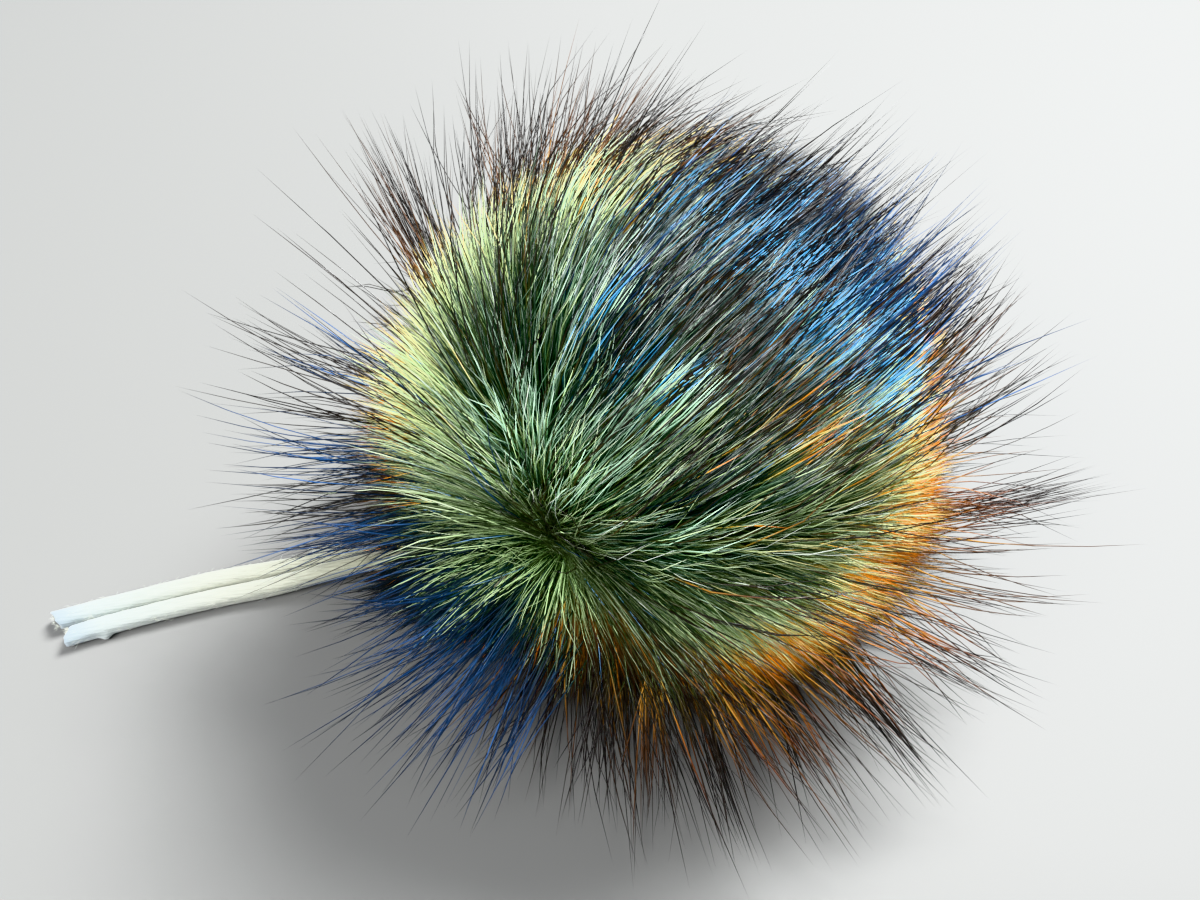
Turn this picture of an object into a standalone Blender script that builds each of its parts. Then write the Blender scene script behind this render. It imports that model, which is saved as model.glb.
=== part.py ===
"""Faux-fur pom pom lying on its side, with its two-strand cotton tie.

A round of long-pile fur is gathered at its edge and drawn up into a ball. The gather faces
forwards and to the left. The pile runs from there over the ball to the far side, lifting off
it on the way, and levels out where it meets the surface that the ball lies on. The tie is sewn
in at the gather, drops under the pile and lies out to the left.

Metres, +Z up. The origin is the middle of the flat spot that the ball rests on.
"""
import math
import random

import bmesh
import bpy
from mathutils import Vector

# ---------------------------------------------------------------- the fur mass
BALL_CENTRE = Vector((0.0, 0.0, 0.042))
HALF_WIDTH = 0.041
HALF_DEPTH = 0.040
HEIGHT_ABOVE_CENTRE = 0.038
DEPTH_BELOW_CENTRE = 0.044
FLAT_SPOT_RADIUS = 0.0122
FLAT_SPOT_SIDES = 6
CLEAR_OF_FLAT_SPOT = math.radians(26)
ROOT_POINTS = 150
ROOT_POINT_JITTER = 0.022
LUMP_DEPTH = 0.0007

GATHER_TURN = math.radians(-38.0)
GATHER_RISE = math.radians(-9.0)
GATHER = Vector((
    math.sin(GATHER_TURN) * math.cos(GATHER_RISE),
    -math.cos(GATHER_TURN) * math.cos(GATHER_RISE),
    math.sin(GATHER_RISE),
))
DENT_DEPTH = 0.0065
DENT_SPREAD = math.radians(20.0)

# ---------------------------------------------------------------- how the pile runs
LIFT = 0.84
LIFT_AT_GATHER = 1.10
LIFT_AT_GATHER_SPREAD = math.radians(30.0)
LIFT_FAR_SIDE = 0.23
LIFT_OUTER = 0.48
LIFT_OUTER_FROM = 0.050
LIFT_OUTER_OVER = 0.025
LIFT_LOW = 1.30
LIFT_LOW_FROM = 0.10
LIFT_LOW_OVER = 0.80
PARTING_WIDTH = 0.35
FAR_SIDE_FROM = math.radians(130.0)
FAR_SIDE_RUN = 0.15
FAN = 0.19
SAG = Vector((-0.07, -0.25, -0.38))
SAG_FROM = math.radians(45.0)
LEFT_DROOP = 0.75
LEFT_DROOP_FROM = 0.30
FLOOR_REACH = 0.010
FLOW_STEP = 0.0015

# ---------------------------------------------------------------- locks of pile
# Each row of a profile: share of the lock's length, width as a share of its root.
PILE_PROFILE = ((0.0, 0.86), (0.22, 0.80), (0.50, 0.66), (0.78, 0.42), (1.0, 0.14))
GUARD_PROFILE = ((0.0, 0.86), (0.12, 0.76), (0.34, 0.44), (0.66, 0.24), (1.0, 0.075))
PILE_LENGTH = 0.026
GUARD_LENGTH = 0.048
LENGTH_SPREAD = 0.16
GUARD_CHANCE = 0.85
# Where locks are shorter: a direction, and the shares of the pile's and the guard's length there.
LENGTH_ZONES = (
    (Vector((0.00, -0.60, -0.80)), 0.70, 1.00),
    (Vector((0.45, 0.60, 0.66)), 1.00, 0.68),
    (Vector((0.00, 0.00, -1.00)), 0.70, 0.60),
)
LENGTH_ZONE_FROM = 0.35
TRIM_STEPS = (1.0, 0.8, 0.62, 0.46, 0.34)
SEED = 52

# ---------------------------------------------------------------- the tie
TIE_DIAMETER = 0.0038
TIE_CLEARANCE = 0.0010
TIE_PARTS_PILE = 1.3
TIE_PARTS_PILE_WITHIN = 0.0075
MM = 0.001
# Each strand's route in millimetres, from the gather to its free end.
UPPER_ROUTE = (
    (-29.3, -23.6, 28.9), (-34.4, -22.6, 23.6), (-38.9, -19.4, 17.6),
    (-43.3, -14.2, 11.2), (-48.0, -9.4, 6.6), (-52.6, -6.6, 3.8), (-57.8, -5.7, 2.4),
    (-64.5, -6.2, 1.97), (-70.2, -7.0, 1.95), (-75.9, -8.0, 1.95), (-83.5, -9.6, 1.95),
    (-92.2, -11.5, 1.95), (-99.0, -13.3, 1.95), (-105.5, -15.2, 1.95), (-115.0, -18.2, 1.95),
    (-124.8, -21.4, 1.95),
)
LOWER_ROUTE = (
    (-26.4, -25.8, 32.6), (-32.0, -28.6, 30.2), (-37.6, -26.2, 24.9),
    (-42.4, -21.6, 18.5), (-46.9, -15.9, 12.6), (-51.2, -11.6, 8.6), (-54.7, -9.6, 6.4),
    (-58.6, -9.0, 5.3), (-64.7, -9.7, 4.6), (-69.8, -10.8, 4.1), (-75.3, -12.1, 3.2),
    (-82.6, -13.8, 2.3), (-91.1, -15.7, 1.95), (-97.9, -17.5, 1.95), (-104.4, -19.4, 1.95),
    (-113.8, -22.4, 1.95), (-121.0, -25.0, 1.95),
)


def clear_scene():
    """Start from an empty scene."""
    for thing in list(bpy.data.objects):
        bpy.data.objects.remove(thing, do_unlink=True)


def make_material(name, colour, roughness):
    """A plain Principled material."""
    material = bpy.data.materials.new(name)
    material.use_nodes = True
    shader = material.node_tree.nodes["Principled BSDF"]
    shader.inputs["Base Color"].default_value = (*colour, 1.0)
    shader.inputs["Roughness"].default_value = roughness
    shader.inputs["Metallic"].default_value = 0.0
    return material


def ramp(value):
    """A smooth step from 0 to 1."""
    value = min(max(value, 0.0), 1.0)
    return value * value * (3.0 - 2.0 * value)


def angle_from_gather(direction):
    """The angle at the ball's centre between a direction and the gather."""
    return math.acos(min(max(direction.dot(GATHER), -1.0), 1.0))


# ---------------------------------------------------------------- the fur mass
def mass_radius(direction):
    """How far the dense fur reaches from the centre, with the dent at the gather."""
    half_height = HEIGHT_ABOVE_CENTRE if direction.z > 0.0 else DEPTH_BELOW_CENTRE
    stretch = Vector((
        direction.x / HALF_WIDTH,
        direction.y / HALF_DEPTH,
        direction.z / half_height,
    )).length
    dent = DENT_DEPTH * math.exp(-(angle_from_gather(direction) / DENT_SPREAD) ** 2)
    return 1.0 / stretch - dent


def root_directions(chance):
    """Even directions all round, a little shaken, but for the cone of the flat spot."""
    golden_turn = math.pi * (3.0 - math.sqrt(5.0))
    directions = []
    for index in range(ROOT_POINTS):
        height = 1.0 - 2.0 * (index + 0.5) / ROOT_POINTS
        around = index * golden_turn
        flat = math.sqrt(1.0 - height * height)
        direction = Vector((flat * math.cos(around), flat * math.sin(around), height))
        direction += Vector([chance.gauss(0.0, ROOT_POINT_JITTER) for _ in range(3)])
        direction.normalize()
        if math.acos(-direction.z) > CLEAR_OF_FLAT_SPOT:
            directions.append(direction)
    return directions


def flat_spot_directions():
    """The middle and the corners of the flat spot, seen from the ball's centre."""
    directions = [Vector((0.0, 0.0, -1.0))]
    for side in range(FLAT_SPOT_SIDES):
        around = 2.0 * math.pi * side / FLAT_SPOT_SIDES
        corner = Vector((
            FLAT_SPOT_RADIUS * math.cos(around),
            FLAT_SPOT_RADIUS * math.sin(around),
            -BALL_CENTRE.z,
        ))
        directions.append(corner.normalized())
    return directions


def mass_mesh(chance):
    """The fur mass as a closed hull of triangles, and its faces that take no lock."""
    mass = bmesh.new()
    flat_spot = flat_spot_directions()
    flat_verts = [mass.verts.new(direction) for direction in flat_spot]
    for direction in root_directions(chance):
        mass.verts.new(direction)
    bmesh.ops.convex_hull(mass, input=mass.verts)
    bmesh.ops.recalc_face_normals(mass, faces=mass.faces)
    floor_faces = [face for face in mass.faces if all(v in flat_verts for v in face.verts)]
    for vert in mass.verts:
        direction = vert.co.normalized()
        if vert in flat_verts:
            vert.co = BALL_CENTRE + direction * (BALL_CENTRE.z / -direction.z)
            vert.co.z = 0.0
        else:
            radius = mass_radius(direction) + chance.uniform(-LUMP_DEPTH, LUMP_DEPTH)
            vert.co = BALL_CENTRE + direction * radius
    return mass, floor_faces


# ---------------------------------------------------------------- how the pile runs
def push_from_tie(point, tie_points):
    """How the tie parts the pile: away from it, and stronger close to it."""
    nearest = min(tie_points, key=lambda tie_point: (tie_point - point).length_squared)
    away = point - nearest
    closeness = 1.0 - away.length / TIE_PARTS_PILE_WITHIN
    return away.normalized() * (TIE_PARTS_PILE * ramp(closeness))


def pile_direction(point, tie_points):
    """The way the pile runs at a point.

    It runs over the ball away from the gather, lifts off the ball, sags a little, parts at the
    tie, and turns outwards and level where it meets the surface below.
    """
    arm = point - BALL_CENTRE
    reach = arm.length
    out = arm / reach
    angle = angle_from_gather(out)
    over = out * out.dot(GATHER) - GATHER
    over /= max(over.length, PARTING_WIDTH)
    over *= 1.0 + (FAR_SIDE_RUN - 1.0) * ramp((angle - FAR_SIDE_FROM) / (math.pi - FAR_SIDE_FROM))
    lift = LIFT
    lift += LIFT_AT_GATHER * math.exp(-(angle / LIFT_AT_GATHER_SPREAD) ** 2)
    lift += LIFT_FAR_SIDE * ramp(angle / (math.pi / 2) - 1.0)
    lift += LIFT_OUTER * ramp((reach - LIFT_OUTER_FROM) / LIFT_OUTER_OVER)
    lift += LIFT_LOW * ramp((LIFT_LOW_FROM - out.z) / LIFT_LOW_OVER)
    way = out * lift + over + SAG * ramp(angle / SAG_FROM)
    way.z += over.z * FAN
    way.z -= LEFT_DROOP * ramp(-out.x - LEFT_DROOP_FROM)
    way += push_from_tie(point, tie_points)
    if way.z < 0.0:
        turned = -way.z * (1.0 - min(max(point.z / FLOOR_REACH, 0.0), 1.0))
        way += Vector((out.x, out.y, 0.0)).normalized() * turned
        way.z += turned
    return way.normalized()


def follow_pile(point, length, tie_points):
    """Where a hair from this point gets to after a length."""
    steps = max(1, math.ceil(length / FLOW_STEP))
    step = length / steps
    for _ in range(steps):
        middle = point + pile_direction(point, tie_points) * (step / 2)
        point = point + pile_direction(middle, tie_points) * step
    return point


# ---------------------------------------------------------------- locks of pile
def centre_of(points):
    """The mean of some points."""
    return sum(points, Vector()) / len(points)


def scaled(points, factor):
    """Points drawn towards their own centre."""
    centre = centre_of(points)
    return [centre + (point - centre) * factor for point in points]


def widest_side(ring):
    """The longest side of a ring of points."""
    return max((ring[i] - ring[i - 1]).length for i in range(len(ring)))


def lock_rings(corners, profile, length, tie_points):
    """The rings of three points that a lock goes through, from its root to its tip.

    Each ring follows the pile out from the root, so that locks don't cross, and is drawn in
    where the pile fans out, so that a lock doesn't spread.
    """
    rings = []
    for share, width in profile:
        root = scaled(corners, width)
        ring = [follow_pile(point, share * length, tie_points) for point in root]
        rings.append(scaled(ring, min(1.0, widest_side(root) / widest_side(ring))))
    return rings


def lock_length(is_guard, out):
    """How long a lock is at a place on the ball."""
    length = GUARD_LENGTH if is_guard else PILE_LENGTH
    for direction, pile_share, guard_share in LENGTH_ZONES:
        share = guard_share if is_guard else pile_share
        nearness = ramp((out.dot(direction) - LENGTH_ZONE_FROM) / (1.0 - LENGTH_ZONE_FROM))
        length *= 1.0 + (share - 1.0) * nearness
    return length


def clears_tie(rings, tie_points):
    """Whether a lock keeps off the tie all along."""
    limit = TIE_DIAMETER / 2 + TIE_CLEARANCE
    for near, far in zip(rings, rings[1:]):
        for step in range(5):
            ring = [a.lerp(b, step / 4) for a, b in zip(near, far)]
            samples = list(ring)
            samples += [ring[i].lerp(ring[i - 1], share) for i in range(3) for share in (0.25, 0.5, 0.75)]
            samples.append(centre_of(ring))
            for sample in samples:
                if any((sample - point).length < limit for point in tie_points):
                    return False
    return True


def raise_lock(mesh, face, rings):
    """Extrude one face of the mass through the rings of a lock."""
    for ring in rings:
        face = bmesh.ops.extrude_discrete_faces(mesh, faces=[face])["faces"][0]
        for vert, place in zip(face.verts, ring):
            vert.co = place


def choose_guard_faces(faces, chance):
    """Faces for the long locks, spread evenly: no two of them share a side."""
    chosen = set()
    for face in faces:
        neighbours = {other for edge in face.edges for other in edge.link_faces}
        if not neighbours & chosen and chance.random() < GUARD_CHANCE:
            chosen.add(face)
    return chosen


def build_fur_ball(tie_points):
    """The fur mass with its locks: long guard locks among shorter locks of pile."""
    chance = random.Random(SEED)
    mesh, floor_faces = mass_mesh(chance)
    locked_faces = [face for face in mesh.faces if face not in floor_faces]
    guard_faces = choose_guard_faces(locked_faces, chance)
    for face in locked_faces:
        corners = [vert.co.copy() for vert in face.verts]
        is_guard = face in guard_faces
        profile = GUARD_PROFILE if is_guard else PILE_PROFILE
        length = lock_length(is_guard, (centre_of(corners) - BALL_CENTRE).normalized())
        length *= 1.0 + chance.uniform(-LENGTH_SPREAD, LENGTH_SPREAD)
        for trim in TRIM_STEPS:
            rings = lock_rings(corners, profile, length * trim, tie_points)
            if clears_tie(rings, tie_points):
                raise_lock(mesh, face, rings)
                break
    bmesh.ops.triangulate(mesh, faces=mesh.faces)
    data = bpy.data.meshes.new("fur_ball")
    mesh.to_mesh(data)
    mesh.free()
    fur = bpy.data.objects.new("fur_ball", data)
    bpy.context.collection.objects.link(fur)
    fur.data.materials.append(make_material("faux_fur", (0.10, 0.13, 0.05), 0.85))
    return fur


# ---------------------------------------------------------------- the tie
def smooth_route(route, samples=24):
    """Close points on a smooth curve through the route's points."""
    knots = [Vector(point) * MM for point in route]
    knots = [knots[0] * 2 - knots[1]] + knots + [knots[-1] * 2 - knots[-2]]
    points = []
    for before, start, end, after in zip(knots, knots[1:], knots[2:], knots[3:]):
        for index in range(samples):
            t = index / samples
            pull = (end - before) * (t - 2 * t * t + t ** 3) + (after - start) * (t ** 3 - t * t)
            points.append(start * (2 * t ** 3 - 3 * t * t + 1) + end * (3 * t * t - 2 * t ** 3) + pull / 2)
    points.append(knots[-2])
    return points


def even_points(points, spacing):
    """Points a set distance apart along a line of close points, keeping both ends."""
    lengths = [0.0]
    for a, b in zip(points, points[1:]):
        lengths.append(lengths[-1] + (b - a).length)
    count = round(lengths[-1] / spacing)
    even = []
    index = 0
    for number in range(count + 1):
        target = lengths[-1] * number / count
        while index < len(points) - 2 and lengths[index + 1] < target:
            index += 1
        share = (target - lengths[index]) / (lengths[index + 1] - lengths[index])
        even.append(points[index].lerp(points[index + 1], share))
    return even


def build_tie_strand(name, route):
    """One strand of the tie as a tube along its route."""
    curve = bpy.data.curves.new(name, "CURVE")
    curve.dimensions = "3D"
    curve.bevel_depth = TIE_DIAMETER / 2
    curve.bevel_resolution = 2
    curve.render_resolution_u = 0
    curve.use_fill_caps = True
    points = even_points(smooth_route(route), 2 * TIE_DIAMETER)
    spline = curve.splines.new("POLY")
    spline.points.add(len(points) - 1)
    for spline_point, point in zip(spline.points, points):
        spline_point.co = (*point, 1.0)
    strand = bpy.data.objects.new(name, curve)
    bpy.context.collection.objects.link(strand)
    curve.materials.append(make_material(name + "_cotton", (0.86, 0.83, 0.72), 0.9))
    return strand


def main():
    clear_scene()
    strands = {"tie_strand_upper": UPPER_ROUTE, "tie_strand_lower": LOWER_ROUTE}
    tie_points = []
    for name, route in strands.items():
        build_tie_strand(name, route)
        tie_points += even_points(smooth_route(route), TIE_DIAMETER / 2)
    build_fur_ball(tie_points)


main()
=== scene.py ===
"""Looks of the faux-fur pom pom: its fur as separate strands, and its soft two-strand cotton tie.

The fur follows the same flow as the solids: out of the gather, over the ball and down to the
surface that it lies on. Colours run along each strand, from dark roots to orange, blue or black
tips, and change from place to place on the ball.
"""
import math

import bmesh
import bpy
import numpy as np
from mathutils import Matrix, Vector, noise


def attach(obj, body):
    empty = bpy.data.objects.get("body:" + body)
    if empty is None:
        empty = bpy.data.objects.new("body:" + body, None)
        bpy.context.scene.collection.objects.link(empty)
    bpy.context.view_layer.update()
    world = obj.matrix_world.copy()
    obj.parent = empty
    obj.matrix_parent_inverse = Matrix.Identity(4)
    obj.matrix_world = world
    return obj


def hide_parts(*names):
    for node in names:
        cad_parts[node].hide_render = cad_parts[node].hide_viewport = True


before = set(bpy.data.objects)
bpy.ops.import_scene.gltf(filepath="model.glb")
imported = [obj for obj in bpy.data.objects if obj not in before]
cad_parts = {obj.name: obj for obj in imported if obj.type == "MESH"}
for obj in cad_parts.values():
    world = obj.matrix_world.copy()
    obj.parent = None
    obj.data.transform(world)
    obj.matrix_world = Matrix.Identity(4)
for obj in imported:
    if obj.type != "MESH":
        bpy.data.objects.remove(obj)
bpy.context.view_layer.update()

MM = 0.001

# ---- the camera
CAMERA_PLACE = (-0.01332, -0.11864, 0.18615)
CAMERA_TILT = math.radians(37.5)
CAMERA_LENS_MM = 30.0
CAMERA_SENSOR_MM = 36.0

# ---- the fur mass, as in the solids
BALL_CENTRE = np.array((0.0, 0.0, 0.042))
DOWN = np.array((0.0, 0.0, -1.0))
HALF_WIDTH = 0.041
HALF_DEPTH = 0.040
HEIGHT_ABOVE_CENTRE = 0.038
DEPTH_BELOW_CENTRE = 0.044
GATHER_TURN = math.radians(-38.0)
GATHER_RISE = math.radians(-9.0)
GATHER = np.array((
    math.sin(GATHER_TURN) * math.cos(GATHER_RISE),
    -math.cos(GATHER_TURN) * math.cos(GATHER_RISE),
    math.sin(GATHER_RISE),
))
DENT_DEPTH = 0.0065
DENT_SPREAD = math.radians(20.0)
CLEAR_OF_FLAT_SPOT = math.radians(22.0)

# ---- how the pile runs: as in the solids, but flatter at the gather
LIFT = 0.84
# Near the gather the pile lies down over the ball, but stands out on the side below it.
LIFT_AT_GATHER = -0.55
LIFT_BELOW_GATHER = 1.30
LIFT_AT_GATHER_SPREAD = math.radians(34.0)
BELOW_GATHER = np.array((-0.28, 0.18, -0.94))
BELOW_AT_SIDE, BELOW_OVER = 0.45, 0.75
LIFT_FAR_SIDE = 0.23
LIFT_OUTER = 0.48
LIFT_OUTER_FROM = 0.050
LIFT_OUTER_OVER = 0.025
LIFT_LOW = 1.30
LIFT_LOW_FROM = 0.10
LIFT_LOW_OVER = 0.80
PARTING_WIDTH = 0.10
FAR_SIDE_FROM = math.radians(130.0)
FAR_SIDE_RUN = 0.15
FAN = 0.19
SAG = np.array((-0.07, -0.25, -0.38))
SAG_FROM = math.radians(45.0)
LEFT_DROOP = 0.75
LEFT_DROOP_FROM = 0.30
FLOOR_REACH = 0.010

# The pile on the right of the gather, above a parting, is combed one way.
COMB_WAY = np.array((0.73, 0.54, 0.42))
COMB_LIFT = 0.42
COMB_KEEPS_OUTWARD = 0.45
COMB_KEEPS_RIGHT_OF, COMB_KEEPS_OVER = 0.20, 0.50
PARTING_UP = np.array((-0.04, 0.42, 0.91))
COMB_ABOVE, COMB_ABOVE_OVER = -0.10, 0.25
COMB_RIGHT_OF, COMB_RIGHT_OVER = -0.62, 0.50

PILE_LENGTH = 0.026
GUARD_LENGTH = 0.048
GUARD_CLEAR_OF_GATHER = math.radians(6.0)
LENGTH_ZONES = (
    ((0.00, -0.60, -0.80), 0.70, 1.00),
    ((0.45, 0.60, 0.66), 1.12, 0.68),
    ((0.00, 0.00, -1.00), 0.70, 0.60),
    ((0.90, -0.30, 0.30), 0.70, 0.90),
    ((0.35, -0.90, -0.20), 0.74, 0.90),
    ((0.70, 0.35, 0.62), 0.60, 0.66),
    ((0.25, 0.72, 0.65), 0.97, 0.75),
    ((-0.55, -0.70, -0.45), 0.85, 1.00),
)
LENGTH_ZONE_FROM = 0.35
# Where guard hairs are fewer, and by what share.
THIN_FROM, THIN_OVER = 0.60, 0.35
THIN_ZONES = (
    ((0.85, -0.45, -0.10), 0.80),
    ((0.66, 0.20, 0.72), 0.70),
    ((0.10, -0.95, 0.10), 0.50),
    ((-0.95, -0.10, 0.20), 0.30),
    ((0.55, -0.83, 0.00), 0.55),
    ((0.20, -0.85, -0.45), 0.45),
)

# ---- the tie, as in the solids
TIE_DIAMETER = 0.0038
TIE_PARTS_PILE = 1.7
TIE_PARTS_PILE_WITHIN = 0.0090
# Heights count less, so that pile high above the tie still parts to its two sides.
TIE_PARTS_SIDEWAYS = np.array((1.0, 1.0, 0.35))
TIE_CLEARANCE = 0.0003
UPPER_ROUTE = (
    (-29.3, -23.6, 28.9), (-34.4, -22.6, 23.6), (-38.9, -19.4, 17.6),
    (-43.3, -14.2, 11.2), (-48.0, -9.4, 6.6), (-52.6, -6.6, 3.8), (-57.8, -5.7, 2.4),
    (-64.5, -6.2, 1.97), (-70.2, -7.0, 1.95), (-75.9, -8.0, 1.95), (-83.5, -9.6, 1.95),
    (-92.2, -11.5, 1.95), (-99.0, -13.3, 1.95), (-105.5, -15.2, 1.95), (-115.0, -18.2, 1.95),
    (-124.8, -21.4, 1.95),
)
LOWER_ROUTE = (
    (-26.4, -25.8, 32.6), (-32.0, -28.6, 30.2), (-37.6, -26.2, 24.9),
    (-42.4, -21.6, 18.5), (-46.9, -15.9, 12.6), (-51.2, -11.6, 8.6), (-54.7, -9.6, 6.4),
    (-58.6, -9.0, 5.3), (-64.7, -9.7, 4.6), (-69.8, -10.8, 4.1), (-75.3, -12.1, 3.2),
    (-82.6, -13.8, 2.3), (-91.1, -15.7, 1.95), (-97.9, -17.5, 1.95), (-104.4, -19.4, 1.95),
    (-113.8, -22.4, 1.95), (-121.0, -25.0, 1.95),
)

SEED = 7
MOST_STRANDS_A_PIECE = 8800
# How many points are compared with the others at a time, to spare memory.
BATCH, NEAREST_BATCH = 20000, 4000

chance = np.random.default_rng(SEED)


# ---- small helpers
def ramp(value):
    """A smooth step from 0 to 1."""
    value = np.clip(value, 0.0, 1.0)
    return value * value * (3.0 - 2.0 * value)


def lengths_of(vectors):
    """Lengths of an array of vectors, kept as a last axis of one."""
    return np.linalg.norm(vectors, axis=-1, keepdims=True)


def unit(vectors):
    """Vectors of length one."""
    return vectors / np.maximum(lengths_of(vectors), 1e-9)


def angles_from(way, directions):
    """The angles between directions and one way."""
    return np.arccos(np.clip(directions @ way, -1.0, 1.0))


def spiral_directions(count, shake):
    """Even directions all round, a little shaken."""
    index = np.arange(count)
    height = 1.0 - 2.0 * (index + 0.5) / count
    around = index * math.pi * (3.0 - math.sqrt(5.0))
    flat = np.sqrt(1.0 - height * height)
    directions = np.stack((flat * np.cos(around), flat * np.sin(around), height), axis=1)
    return unit(directions + chance.normal(0.0, shake, directions.shape))


def mass_radius(directions):
    """How far the dense fur reaches from the centre, with the dent at the gather."""
    half_height = np.where(directions[:, 2] > 0.0, HEIGHT_ABOVE_CENTRE, DEPTH_BELOW_CENTRE)
    stretch = np.sqrt(
        (directions[:, 0] / HALF_WIDTH) ** 2
        + (directions[:, 1] / HALF_DEPTH) ** 2
        + (directions[:, 2] / half_height) ** 2
    )
    dent = DENT_DEPTH * np.exp(-(angles_from(GATHER, directions) / DENT_SPREAD) ** 2)
    return 1.0 / stretch - dent


def smooth_route(route, samples=24):
    """Close points on a smooth curve through the route's points, in metres."""
    knots = [Vector(point) * MM for point in route]
    knots = [knots[0] * 2 - knots[1]] + knots + [knots[-1] * 2 - knots[-2]]
    points = []
    for before, start, end, after in zip(knots, knots[1:], knots[2:], knots[3:]):
        for index in range(samples):
            t = index / samples
            pull = (end - before) * (t - 2 * t * t + t ** 3) + (after - start) * (t ** 3 - t * t)
            rest = start * (2 * t ** 3 - 3 * t * t + 1) + end * (3 * t * t - 2 * t ** 3)
            points.append(rest + pull / 2)
    points.append(knots[-2])
    return np.array(points)


def even_points(points, spacing):
    """Points a set distance apart along a line of close points, keeping both ends."""
    steps = np.linalg.norm(np.diff(points, axis=0), axis=1)
    along = np.concatenate(([0.0], np.cumsum(steps)))
    wanted = np.linspace(0.0, along[-1], round(along[-1] / spacing) + 1)
    return np.stack([np.interp(wanted, along, points[:, axis]) for axis in range(3)], axis=1)


UPPER_LINE = smooth_route(UPPER_ROUTE)
LOWER_LINE = smooth_route(LOWER_ROUTE)
TIE_POINTS = np.concatenate([even_points(line, TIE_DIAMETER / 2) for line in (UPPER_LINE, LOWER_LINE)])
TIE_PARTS_PILE_LEFT_OF = -0.052
PARTING_POINTS = TIE_POINTS[TIE_POINTS[:, 0] < TIE_PARTS_PILE_LEFT_OF] * TIE_PARTS_SIDEWAYS
HIDDEN_POINTS = TIE_POINTS[TIE_POINTS[:, 0] >= TIE_PARTS_PILE_LEFT_OF]
PILE_CLEARS_HIDDEN_TIE = 1.1
PILE_CLEARS_HIDDEN_TIE_WITHIN = 0.0060


# ---- how the pile runs
def from_nearest(points, others):
    """For each point, the vector to it from the nearest of some others."""
    away = points[:, None, :] - others[None, :, :]
    nearest = np.argmin((away ** 2).sum(axis=2), axis=1)
    return away[np.arange(len(points)), nearest]


def near_box(points, others, reach):
    """Which points lie in the box of some others, widened by a reach."""
    low, high = others.min(axis=0) - reach, others.max(axis=0) + reach
    return np.nonzero(((points > low) & (points < high)).all(axis=1))[0]


def near_points(points, others, within):
    """Which points may lie near some others, the vectors from those, and how near, from 0 to 1."""
    close = near_box(points, others, within)
    away = from_nearest(points[close], others)
    return close, away, ramp(1.0 - lengths_of(away) / within)


def combed(out, way):
    """The way of the pile where the comb takes it over."""
    leaning = (out @ COMB_WAY)[:, None]
    comb = COMB_WAY - out * np.minimum(leaning, 0.0)
    keeps = COMB_KEEPS_OUTWARD * ramp((out[:, :1] - COMB_KEEPS_RIGHT_OF) / COMB_KEEPS_OVER)
    comb = comb + out * (COMB_LIFT - (1.0 - keeps) * np.maximum(leaning, 0.0))
    share = ramp((out @ PARTING_UP - COMB_ABOVE) / COMB_ABOVE_OVER)
    share *= ramp((out[:, 0] - COMB_RIGHT_OF) / COMB_RIGHT_OVER)
    return way + (unit(comb) * lengths_of(way) - way) * share[:, None]


def kept_off_tie(points, out, way):
    """The way of the pile, parted beside the tie where that shows and lifted where it's hidden."""
    flattened = points * TIE_PARTS_SIDEWAYS
    close, away, nearness = near_points(flattened, PARTING_POINTS, TIE_PARTS_PILE_WITHIN)
    way[close] += unit(away) * TIE_PARTS_PILE * nearness
    close, _, nearness = near_points(points, HIDDEN_POINTS, PILE_CLEARS_HIDDEN_TIE_WITHIN)
    way[close] += out[close] * PILE_CLEARS_HIDDEN_TIE * nearness
    return way


def pile_direction(points):
    """The way the pile runs at points: the flow that the solids follow, flatter at the gather."""
    arm = points - BALL_CENTRE
    reach = lengths_of(arm)
    out = arm / reach
    angle = angles_from(GATHER, out)[:, None]
    over = out * (out @ GATHER)[:, None] - GATHER
    below = ramp(BELOW_AT_SIDE + BELOW_OVER * (unit(over) @ BELOW_GATHER))[:, None]
    over /= np.maximum(lengths_of(over), PARTING_WIDTH)
    over *= 1.0 + (FAR_SIDE_RUN - 1.0) * ramp((angle - FAR_SIDE_FROM) / (math.pi - FAR_SIDE_FROM))
    at_gather = LIFT_AT_GATHER + (LIFT_BELOW_GATHER - LIFT_AT_GATHER) * below
    lift = LIFT + at_gather * np.exp(-(angle / LIFT_AT_GATHER_SPREAD) ** 2)
    lift += LIFT_FAR_SIDE * ramp(angle / (math.pi / 2) - 1.0)
    lift += LIFT_OUTER * ramp((reach - LIFT_OUTER_FROM) / LIFT_OUTER_OVER)
    lift += LIFT_LOW * ramp((LIFT_LOW_FROM - out[:, 2:]) / LIFT_LOW_OVER)
    way = out * lift + over + SAG * ramp(angle / SAG_FROM)
    way[:, 2] += over[:, 2] * FAN
    way[:, 2] -= LEFT_DROOP * ramp(-out[:, 0] - LEFT_DROOP_FROM)
    way = kept_off_tie(points, out, combed(out, way))
    turned = np.maximum(-way[:, 2], 0.0) * (1.0 - np.clip(points[:, 2] / FLOOR_REACH, 0.0, 1.0))
    level = unit(out * (1.0, 1.0, 0.0))
    way += level * turned[:, None]
    way[:, 2] += turned
    return unit(way)


def follow_pile(roots, lengths, steps, lean):
    """Paths of strands through the flow, each leaning off it a little: (strand, step, xyz)."""
    paths = [roots]
    step = (lengths / steps)[:, None]
    for _ in range(steps):
        here = paths[-1]
        middle = here + unit(pile_direction(here) + lean) * step / 2
        paths.append(here + unit(pile_direction(middle) + lean) * step)
    return np.stack(paths, axis=1)


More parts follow.
